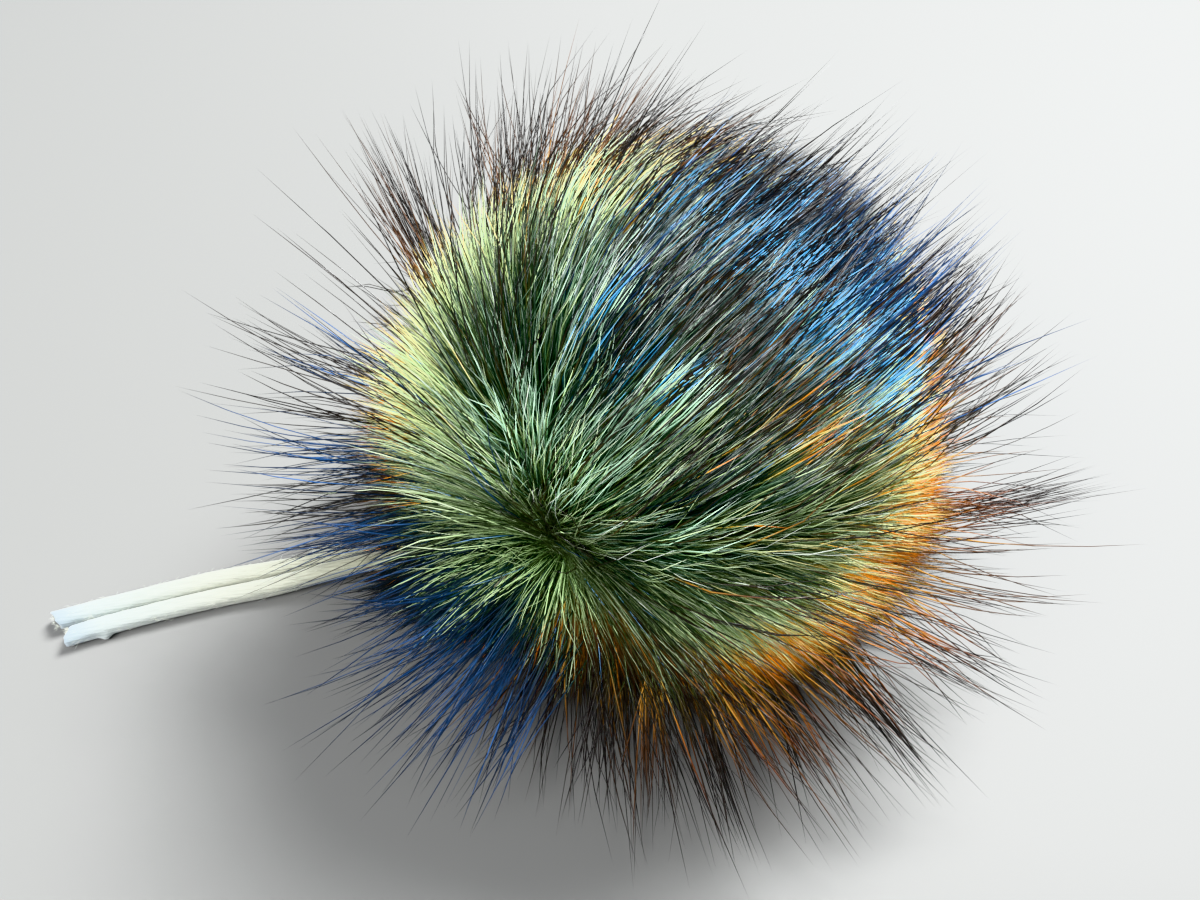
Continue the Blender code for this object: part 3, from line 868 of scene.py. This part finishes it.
def layer_roots(layer, facts):
    """Where a layer's strands stand: their directions from the ball's centre and their roots."""
    directions = spiral_directions(facts["count"], 0.9 / math.sqrt(facts["count"]))
    keep = angles_from(DOWN, directions) > CLEAR_OF_FLAT_SPOT
    middle, within = facts.get("around", (GATHER, math.pi))
    keep &= angles_from(middle, directions) <= within
    if layer == "guard":
        keep &= chance.uniform(size=len(directions)) > thinning(directions)
        keep &= angles_from(GATHER, directions) > GUARD_CLEAR_OF_GATHER
    directions = directions[keep]
    roots = BALL_CENTRE + directions * (mass_radius(directions) - ROOT_DEPTH)[:, None]
    if layer == "cover":
        roots = cover_roots(len(roots))
        directions = unit(roots - BALL_CENTRE)
    return directions, roots


def shown_towards(paths, directions, facts):
    """Directions from the ball's centre of the points where strands show."""
    nearness = np.exp(-(angles_from(GATHER, directions) / SHOWS_NEARER_SPREAD) ** 2)
    at = SHOWS_AT - SHOWS_NEARER * nearness
    if "shows_at" in facts:
        at = np.full(len(paths), facts["shows_at"])
    at *= facts["points"] - 1
    low = at.astype(int)
    part = (at - low)[:, None]
    each = np.arange(len(paths))
    return unit(paths[each, low] * (1.0 - part) + paths[each, low + 1] * part - BALL_CENTRE)


def make_layer(layer):
    """What the strands of one layer need to become meshes, and what their families depend on."""
    facts = dict(zip(LAYER_COLUMNS, LAYERS[layer]), **LAYER_EXTRAS.get(layer, {}))
    directions, roots = layer_roots(layer, facts)
    count = len(roots)
    full = full_lengths(directions, layer == "guard")
    lengths = full * facts["length"] * (1.0 + facts["spread"] * chance.uniform(-1.0, 1.0, count))
    lean = chance.normal(0.0, facts["lean"], roots.shape)
    fine = follow_pile(roots, lengths, (facts["points"] - 1) * STEPS_A_POINT, lean)
    reach = lengths.max()
    tufts, middles = tuft_paths(facts["tufts"], reach, facts["tuft_lean"])
    owners = nearest_tuft(directions, tufts)
    tuft_tight = chance.uniform(*facts["tight"], len(tufts))
    tight = tuft_tight[owners] * chance.uniform(0.6, 1.0, count)
    paths = draw_into_tufts(fine[:, ::STEPS_A_POINT], lengths, owners, middles, reach, tight)
    paths = wave_strands(paths, facts["wave"] * MM, facts["waves"])
    if layer == "guard":
        paths[:, 1:-1] = 0.5 * paths[:, 1:-1] + 0.25 * (paths[:, :-2] + paths[:, 2:])
    radii = facts["radius"] * MM * chance.uniform(0.75, 1.25, (count, 1))
    shares = np.linspace(0.0, 1.0, facts["points"])
    radii = radii * (1.0 - shares) ** facts["blunt"]
    push_off_tie(paths, TIE_CLEARANCE)
    lift_off_floor(paths, facts["radius"] * MM * FLOOR_CLEARANCE)
    tuft_draw = chance.uniform(size=len(tufts))
    shared = chance.uniform(size=count) < facts["together"]
    draws = np.where(shared, tuft_draw[owners], chance.uniform(size=count))
    towards = shown_towards(paths, directions, facts)
    tuft_tone = chance.uniform(size=len(tufts))
    tones = 0.5 * tuft_tone[owners] + 0.5 * chance.uniform(size=count)
    tones = 0.5 + (tones - 0.5) * facts.get("calm", 1.0)
    # The shift by place adds painted light and shade to each strand's tone.
    tones = np.clip(tones + painted_light_and_tone_shift(towards), 0.0, 1.0)
    start = facts.get("from_share", 0.0)
    colour_shares = start + (1.0 - start) * shares[None, :] * (lengths / full)[:, None]
    return dict(paths=paths, radii=radii, tones=tones, shares=colour_shares,
                towards=towards, draws=draws)


# Tufts that stand out one by one. Each row: a point that the tuft passes and the point that it
# ends at in millimetres, its hairs, how far they spread at the tips in millimetres, its family.
ACCENT_TUFTS = (
    ((-41, 9, 60), (-57, 33, 79), 40, 3.6, "chestnut"),
    ((-40, 11, 62), (-53, 34, 80), 38, 3.2, "black"),
    ((-35, 18, 69), (-38, 44, 81), 18, 5.0, "black"),
    ((-30, 20, 72), (-34, 46, 83), 22, 4.0, "chestnut"),
    ((-27, 22, 73), (-26, 49, 84), 22, 4.0, "black"),
    ((-23, 17, 78), (-16, 44, 88), 26, 4.5, "chestnut"),
    ((-22, 10, 81), (-4, 41, 92), 24, 3.4, "chestnut"),
    ((-19, 12, 82), (-10, 44, 90), 16, 3.8, "black"),
    ((-16, 9, 84), (2, 36, 90), 20, 3.4, "black"),
    ((-30, 2, 78), (-26, 26, 90), 26, 4.0, "black"),
    ((-53, -5, 54), (-81, 10, 58), 18, 3.0, "black"),
    ((-53, -5, 52), (-79, 7, 55), 4, 1.0, "navy"),
    ((-55, -10, 51), (-83, 3, 51), 10, 4.0, "black"),
    ((-56, -16, 47), (-82, -7, 44), 18, 4.0, "navy"),
    ((-55, -21, 44), (-80, -17, 37), 16, 4.0, "black"),
    ((-49, -23, 39), (-77, -22, 32), 30, 3.0, "navy"),
    ((39, -24, 41), (78, -12, 37), 46, 2.6, "rust"),
    ((-36, -39, 28), (-60, -48, 16), 38, 5.0, "navy"),
    ((-32, -42, 26), (-50, -56, 10), 42, 4.5, "navy"),
    ((-25, -46, 23), (-35, -61, 7), 26, 2.4, "navy"),
    ((-41, -35, 31), (-62, -37, 24), 24, 5.0, "navy"),
    ((-13, -45, 22), (-15, -59, 6), 20, 4.0, "black"),
    ((-5, -47, 21), (-2, -61, 5), 20, 4.0, "chestnut"),
    ((3, -48, 22), (12, -68, 4), 30, 2.4, "black"),
    ((16, -47, 24), (27, -60, 9), 20, 4.0, "black"),
    ((29, -47, 28), (47, -58, 12), 30, 3.2, "black"),
    ((38, -42, 34), (60, -48, 19), 20, 4.0, "rust"),
    ((42, -36, 38), (73, -32, 28), 9, 5.0, "chestnut"),
    ((44, -31, 41), (74, -25, 32), 7, 5.0, "chestnut"),
    ((45, -15, 50), (70, 3, 51), 10, 4.0, "black"),
    ((42, -12, 55), (66, 8, 55), 7, 4.0, "black"),
    ((39, 9, 70), (55, 26, 65), 8, 3.0, "black"),
    ((26, 20, 76), (39, 36, 71), 8, 3.0, "navy"),
    ((-62, -8, 9), (-92, -19, 4.6), 2, 0.6, "black"),
    ((-64, -10, 8), (-84, -19, 4.0), 1, 0.4, "black"),
    ((-60, -4, 9), (-70, -18, 4.5), 1, 0.4, "black"),
    ((-62, -7, 8), (-81, -9, 5.5), 2, 0.6, "black"),
)
ACCENT_POINTS = 7
ACCENT_RADIUS = 0.145
ACCENT_ROOT_SPREAD = 2.3


def add_accent_tufts():
    """Longer tufts of guard hair, each from the mass through one point to another."""
    share = np.linspace(0.0, 1.0, ACCENT_POINTS)[None, :, None]
    found = {}
    for passes, ends, hairs, spread, family in ACCENT_TUFTS:
        passes, ends = np.array(passes) * MM, np.array(ends) * MM
        towards = unit(passes - BALL_CENTRE)
        roots = BALL_CENTRE + towards * mass_radius(towards[None])[0]
        roots = roots + chance.normal(0.0, ACCENT_ROOT_SPREAD * MM, (hairs, 3))
        tips = ends + chance.normal(0.0, spread * MM, (hairs, 3))
        tips = roots + (tips - roots) * chance.uniform(0.78, 1.08, (hairs, 1))
        bends = passes + (roots - roots.mean(axis=0)) * 0.8 + (tips - ends) * 0.15
        roots, bends, tips = roots[:, None], bends[:, None], tips[:, None]
        paths = roots * (1 - share) ** 2 + bends * 2 * share * (1 - share) + tips * share ** 2
        found.setdefault(family, []).append(wave_strands(paths, 0.4 * MM, 0.6))
    for family, parts in found.items():
        paths = np.concatenate(parts)
        push_off_tie(paths, TIE_CLEARANCE)
        lift_off_floor(paths, ACCENT_RADIUS * MM * FLOOR_CLEARANCE)
        count = len(paths)
        shares = np.linspace(0.0, 1.0, ACCENT_POINTS)
        radii = ACCENT_RADIUS * MM * chance.uniform(0.7, 1.2, (count, 1)) * (1.0 - shares) ** 0.28
        piece = strand_mesh(f"tufts_guard_{family}", paths, radii, chance.uniform(size=count),
                            np.repeat(shares[None], count, axis=0))
        dress(piece, bpy.data.materials["guard_" + family], "fur_ball")


def dress(piece, material, node):
    """Give a piece its material, its body and the node that it stands for."""
    piece.data.materials.append(material)
    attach(piece, "root")
    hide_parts(node)


def add_strands(kind, layers, zones, families, roughness, specular):
    """Sort strands by family of colour, and make each family's pieces."""
    for family, (tone, *stops) in families.items():
        stops = [(0.0, ROOT_DARK), *stops]
        material = strand_material(kind + family, stops, roughness, specular, tone)
        number = 1
        for layer in layers:
            chosen = np.nonzero(choose_families(layer["towards"], zones, layer["draws"]) == family)[0]
            for start in range(0, len(chosen), MOST_STRANDS_A_PIECE):
                some = chosen[start:start + MOST_STRANDS_A_PIECE]
                facts = [layer[fact][some] for fact in ("paths", "radii", "tones", "shares")]
                piece = strand_mesh(f"fur_{kind}{family}_{number}", *facts)
                dress(piece, material, "fur_ball")
                number += 1


# ---- camera, floor and light
def make_camera():
    """A camera that looks down at the ball, as in the photo."""
    data = bpy.data.cameras.new("camera")
    data.lens = CAMERA_LENS_MM
    data.sensor_width = CAMERA_SENSOR_MM
    data.clip_start = 0.01
    camera = new_object("camera", data)
    camera.location = CAMERA_PLACE
    camera.rotation_euler = (CAMERA_TILT, 0.0, 0.0)
    bpy.context.scene.camera = camera


FLOOR_HALF_SIDE = 3.0


def make_floor():
    """A plain surface for the ball to lie on."""
    mesh = bpy.data.meshes.new("floor")
    half = FLOOR_HALF_SIDE
    corners = [(-half, -half, 0), (half, -half, 0), (half, half, 0), (-half, half, 0)]
    mesh.from_pydata(corners, [], [(0, 1, 2, 3)])
    floor = new_object("floor", mesh)
    material, _, shader = new_material("floor", 0.6, 0.3)
    shader.inputs["Base Color"].default_value = (0.155, 0.153, 0.146, 1.0)
    mesh.materials.append(material)


def make_light(name, place, size, power, colour):
    """A round soft light, turned to the ball."""
    data = bpy.data.lights.new(name, "AREA")
    data.shape = "DISK"
    data.size = size
    data.energy = power
    data.color = colour
    light = new_object(name, data)
    light.location = place
    light.rotation_euler = (Vector((0.0, 0.0, 0.04)) - Vector(place)).to_track_quat("-Z", "Y").to_euler()


def make_lights():
    """A key light above and behind on the right, a fill light in front, and pale surroundings."""
    world = bpy.data.worlds.new("studio")
    world.use_nodes = True
    background = world.node_tree.nodes["Background"]
    background.inputs["Color"].default_value = (0.86, 0.92, 1.0, 1.0)
    background.inputs["Strength"].default_value = 0.70
    bpy.context.scene.world = world
    make_light("key", (0.56, 0.64, 1.08), 0.52, 81.0, (0.95, 0.98, 1.0))
    make_light("fill", (-0.80, -0.60, 0.95), 0.90, 29.0, (0.98, 0.99, 1.0))


# ---- the tie
TIE_SIDES = 24
TIE_RING_SPACING = 0.00062
TIE_SQUARENESS = 2.5
# Bundles round and along the strand, and lumps by place and side: how fine, and how deep as a
# share of the radius.
TIE_BUNDLES = (2.4, 70.0, 0.050)
TIE_LUMPS = ((120.0, 0.6, 0.035), (700.0, 3.0, 0.018))
TIE_SLIMMER = 0.975
TIE_END_REACH = 0.0028
TIE_END_SLANT = 0.0009
TIE_END_RAGGED = 0.00045
# The frayed end: each ring's share of the radius, and how far it stands in from the rim.
TIE_END_RINGS = ((0.90, -0.00015), (0.66, 0.00025), (0.34, 0.00045))
TIE_NUB = np.array((-0.1140, -0.0250, 0.0008))
TIE_NUB_HEIGHT, TIE_NUB_SPREAD = 0.0014, 0.0010
TIE_FUZZ = 760
TIE_END_FUZZ = 90
TIE_FUZZ_RADIUS = 0.000022
TIE_FUZZ_LENGTHS = (0.0006, 0.0022)
TIE_END_FUZZ_LENGTH = 0.45
# How far the loose fibres reach below the strand's widest place, as an angle.
TIE_FUZZ_BELOW = 0.6
TIE_FRAY_FROM = np.array((-0.0765, -0.0068, 0.0034))
TIE_FRAY_TO = np.array((-0.0672, -0.0040, 0.0048))
TIE_FRAY = 90
TIE_FRAY_LENGTHS = (0.0025, 0.0050)
# The cotton's fibres wind: their place across grows along the strand. Then how many there are
# round the strand and end to end.
TIE_WINDING = (1.0, 1.1, 0.0)
TIE_FIBRE_COUNTS = (32.0, 22.0, 1.0)


def tie_frame(points):
    """Ways along, aside and up at points of a tie strand's line."""
    along = unit(np.gradient(points, axis=0))
    aside = unit(np.cross(along, (0.0, 0.0, 1.0)))
    return along, aside, np.cross(aside, along)


def tie_reach(place, spoke, turn, distance):
    """How far a tie strand's side lies from its line: bundles of fibre, lumps and the nub."""
    around, along, depth = TIE_BUNDLES
    turned = Vector((math.cos(turn) * around, math.sin(turn) * around, distance * along))
    uneven = TIE_SLIMMER + depth * noise.noise(turned)
    for size, side, depth in TIE_LUMPS:
        uneven += depth * noise.noise(Vector(place * size + spoke * side))
    square = abs(math.cos(turn)) ** TIE_SQUARENESS + abs(math.sin(turn)) ** TIE_SQUARENESS
    reach = TIE_DIAMETER / 2 * square ** (-1.0 / TIE_SQUARENESS)
    reach *= uneven
    off = np.linalg.norm(place + spoke * reach - TIE_NUB)
    return reach + TIE_NUB_HEIGHT * math.exp(-(off / TIE_NUB_SPREAD) ** 2)


def tie_faces(line_rings):
    """Faces between a tie strand's rings and over its two ends, and their corners in its map."""
    count = line_rings + len(TIE_END_RINGS)
    faces, places = [], []
    end_shares = np.linspace(0.98, 0.99, len(TIE_END_RINGS))
    ring_share = np.concatenate((np.linspace(0.0, 0.975, line_rings), end_shares))
    for ring in range(count - 1):
        for number in range(TIE_SIDES):
            after = (number + 1) % TIE_SIDES
            low, high = ring * TIE_SIDES, (ring + 1) * TIE_SIDES
            faces.append((low + number, low + after, high + after, high + number))
            places += [(number, ring_share[ring]), (number + 1, ring_share[ring]),
                       (number + 1, ring_share[ring + 1]), (number, ring_share[ring + 1])]
    last = (count - 1) * TIE_SIDES
    for number in range(TIE_SIDES):
        after = (number + 1) % TIE_SIDES
        faces.append((after, number, count * TIE_SIDES))
        places += [(number + 1, 0.0), (number, 0.0), (number + 0.5, 0.0)]
        faces.append((last + number, last + after, count * TIE_SIDES + 1))
        places += [(number, ring_share[-1]), (number + 1, ring_share[-1]), (number + 0.5, 1.0)]
    return faces, np.array(places) / (TIE_SIDES, 1.0)


def tie_strand(name, line, outer):
    """A soft felted strand, with a ragged blunt end that slants back from its outer side.

    The map OFBake holds the place round the strand across, from its underside, and the place
    along it, from the gather to the free end.
    """
    points = even_points(line, TIE_RING_SPACING)
    along, aside, up = tie_frame(points)
    turns = -math.pi / 2 + 2.0 * math.pi * np.arange(TIE_SIDES) / TIE_SIDES
    rings = [(index, 1.0, 0.0) for index in range(len(points))]
    rings += [(len(points) - 1, share, depth) for share, depth in TIE_END_RINGS]
    verts = []
    for index, share, depth in rings:
        left = (len(points) - 1 - index) * TIE_RING_SPACING
        near_end = float(ramp(1.0 - left / TIE_END_REACH))
        for turn in turns:
            spoke = aside[index] * math.cos(turn) + up[index] * math.sin(turn)
            reach = tie_reach(points[index], spoke, turn, index * TIE_RING_SPACING) * share
            ragged = TIE_END_RAGGED * noise.noise(Vector(spoke * share * 2.6 + points[index] * 50.0))
            shift = near_end * (TIE_END_SLANT * outer * math.cos(turn) * share + ragged) - depth
            verts.append(points[index] + spoke * reach + along[index] * shift)
    verts += [points[0], points[-1] - along[-1] * TIE_END_RINGS[-1][1]]
    faces, places = tie_faces(len(points))
    data = bpy.data.meshes.new(name)
    data.from_pydata([tuple(vert) for vert in verts], [], faces)
    layer = data.uv_layers.new(name="OFBake")
    layer.data.foreach_set("uv", places.reshape(-1).astype(np.float32))
    solid = bmesh.new()
    solid.from_mesh(data)
    bmesh.ops.recalc_face_normals(solid, faces=solid.faces)
    solid.to_mesh(data)
    solid.free()
    data.shade_smooth()
    return new_object(name, data)


def tie_fuzz(name, line, with_fray):
    """Loose cotton fibres on a tie strand, at its cut end, and where its top has frayed."""
    points = even_points(line, TIE_RING_SPACING)
    along, aside, up = tie_frame(points)
    count = TIE_FUZZ + TIE_END_FUZZ
    index = chance.integers(0, len(points), count)
    index[TIE_FUZZ:] = len(points) - 1
    turn = chance.uniform(-TIE_FUZZ_BELOW, math.pi + TIE_FUZZ_BELOW, count)
    spoke = aside[index] * np.cos(turn)[:, None] + up[index] * np.sin(turn)[:, None]
    share = np.ones(count)
    share[TIE_FUZZ:] = chance.uniform(0.4, 1.0, TIE_END_FUZZ)
    roots = points[index] + spoke * (TIE_DIAMETER / 2 * 0.97 * share)[:, None]
    ways = along[index] * chance.choice((-1.0, 1.0), (count, 1))
    ways += spoke * chance.uniform(0.05, 0.5, (count, 1))
    ways[TIE_FUZZ:] = along[-1] + spoke[TIE_FUZZ:] * 0.10
    ways = unit(ways + chance.normal(0.0, 0.22, ways.shape))
    lengths = chance.uniform(*TIE_FUZZ_LENGTHS, (count, 1))
    lengths[TIE_FUZZ:] *= TIE_END_FUZZ_LENGTH
    if with_fray:
        spread = chance.normal(0.0, 0.0005, (TIE_FRAY, 3))
        back = chance.uniform(0.0, 0.6, (TIE_FRAY, 1))
        starts = TIE_FRAY_FROM + (TIE_FRAY_TO - TIE_FRAY_FROM) * back + spread
        ends = TIE_FRAY_TO + chance.normal(0.0, 0.0008, (TIE_FRAY, 3))
        roots = np.concatenate((roots, starts))
        ways = np.concatenate((ways, unit(ends - starts)))
        lengths = np.concatenate((lengths, chance.uniform(*TIE_FRAY_LENGTHS, (TIE_FRAY, 1))))
    bends = chance.normal(0.0, 0.16, roots.shape) * lengths
    paths = np.stack((roots, roots + ways * lengths * 0.5 + bends, roots + ways * lengths), axis=1)
    lift_off_floor(paths, TIE_FUZZ_RADIUS * 2.0)
    shares = np.linspace(0.0, 1.0, 3)
    radii = TIE_FUZZ_RADIUS * chance.uniform(0.7, 1.5, (len(paths), 1)) * (1.0 - shares) ** 0.4
    shares = np.repeat(shares[None], len(paths), axis=0)
    return strand_mesh(name, paths, radii, chance.uniform(size=len(paths)), shares)


def tie_material(name):
    """Felted cotton: fine fibres that wind along the strand, darker and yellower near the gather, and a
    darker, cooler white at the free end that is painted bluish shade.
    """
    material, tree, shader = new_material(name, 0.90, 0.15)
    uv, _, along = read_map(tree)
    winding = add_node(tree, "VectorMath", {0: uv, 1: TIE_WINDING}, "DOT_PRODUCT").node.outputs["Value"]
    wound = add_node(tree, "CombineXYZ", {"X": winding, "Y": along})
    stretched = add_node(tree, "VectorMath", {0: wound, 1: TIE_FIBRE_COUNTS}, "MULTIPLY")
    inputs = {"Vector": stretched, "Scale": 1.0, "Detail": 5.0, "Roughness": 0.65}
    fibres = add_node(tree, "TexNoise", inputs)
    inputs = {"Value": fibres, "From Min": 0.34, "From Max": 0.64, "To Min": 0.58, "To Max": 1.04}
    # Along the strand: darker and yellower near the gather, and painted bluish shade at the free end.
    set_colour(tree, shader, add_ramp(tree, along, TIE_COTTON_AND_SHADE), add_node(tree, "MapRange", inputs))
    set_bump(tree, shader, fibres, 0.9, 0.0003)
    shader.inputs["Sheen Weight"].default_value = 0.4
    return material


def make_tie():
    """Both strands of the tie with their loose fibres, each strand a cord."""
    cotton = tie_material("tie_cotton")
    fibre = strand_material("tie_fibre", TIE_FIBRE[1:], 0.8, 0.15, TIE_FIBRE[0])
    for name, line, outer in (("upper", UPPER_LINE, 1.0), ("lower", LOWER_LINE, -1.0)):
        piece = tie_strand(f"tie_{name}", line, outer)
        fuzz = tie_fuzz(f"tie_fuzz_{name}", line, name == "upper")
        dress(piece, cotton, f"tie_strand_{name}")
        dress(fuzz, fibre, f"tie_strand_{name}")


# ---- the mass under the pile
MASS_LUMPS = ((0.0009, 9.0), (0.0004, 40.0))
# Near-black olive: the dark colour of the roots, darkened further as painted shade in the gaps between
# strands.
MASS_ROOT_AND_SHADE_COLOURS = ((0.0, (0.006, 0.009, 0.004)), (1.0, (0.040, 0.055, 0.022)))


def make_mass():
    """The dense fur under the strands, a little lumpy: dark olive, darkened to near black as painted
    shade deep among the strands.
    """
    mesh = bmesh.new()
    bmesh.ops.create_icosphere(mesh, subdivisions=5, radius=1.0)
    places = np.array([vert.co[:] for vert in mesh.verts])
    directions = unit(places)
    radii = mass_radius(directions)
    for vert, direction, radius in zip(mesh.verts, directions, radii):
        lumps = sum(depth * noise.noise(Vector(direction * size)) for depth, size in MASS_LUMPS)
        vert.co = BALL_CENTRE + direction * (radius + lumps)
        vert.co.z = max(vert.co.z, 0.0)
    data = bpy.data.meshes.new("fur_mass")
    mesh.to_mesh(data)
    mesh.free()
    data.shade_smooth()
    mass = new_object("fur_mass", data)
    material, tree, shader = new_material("fur_roots_and_shade", 0.95, 0.1)
    place = add_node(tree, "TexCoord").node.outputs["Object"]
    mottle = add_node(tree, "TexNoise", {"Vector": place, "Scale": 1400.0, "Detail": 3.0})
    tree.links.new(add_ramp(tree, mottle, MASS_ROOT_AND_SHADE_COLOURS), shader.inputs["Base Color"])
    set_bump(tree, shader, mottle, 0.8, 0.0004)
    dress(mass, material, "fur_ball")


bpy.context.scene.view_settings.view_transform = "Khronos PBR Neutral"
make_camera()
make_tie()
make_floor()
make_lights()
make_mass()
layers = {name: make_layer(name) for name in LAYERS}
add_strands("", [layers[name] for name in PILE_LAYERS], PILE_ZONES, FAMILIES, 0.40, 0.28)
add_strands("guard_", [layers["guard"]], GUARD_ZONES, GUARDS, 0.34, 0.35)
# Pale strands as painted highlights.
add_strands("", [layers["shine"]], PAINTED_HIGHLIGHT_ZONES, PAINTED_HIGHLIGHT_FAMILIES, 0.30, 0.42)
add_accent_tufts()
